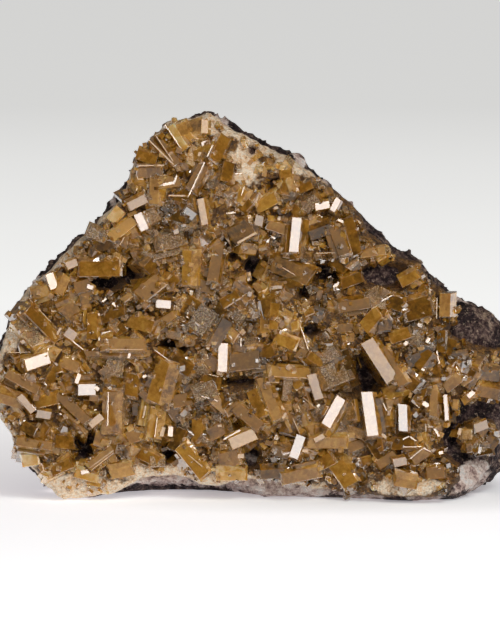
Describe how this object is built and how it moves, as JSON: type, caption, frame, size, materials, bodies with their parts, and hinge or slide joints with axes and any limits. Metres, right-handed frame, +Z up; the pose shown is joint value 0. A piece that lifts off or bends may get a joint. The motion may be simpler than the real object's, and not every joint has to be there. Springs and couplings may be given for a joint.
{
  "type": "barite crystal cluster",
  "caption": "Mineral specimen: blocky honey-brown barite crystals covering the front of a triangular plate of dark host rock that stands on its flat foot.",
  "frame": {"origin": "middle of the object's box at the level of the flat foot", "axes": "+X to the viewer's right along the plate's long side, +Z up, crystals facing -Y"},
  "size_m": [0.1577, 0.0622, 0.1142],
  "materials": {
    "host_rock": "rough broken rock, dark purple-brown with pale patches",
    "barite": "translucent honey-brown crystals with mirror-bright and frosted faces"
  },
  "bodies": {
    "root": {"matrix": "host_rock", "barite_crust": "barite", "barite_group_right": "barite"}
  },
  "joints": []
}
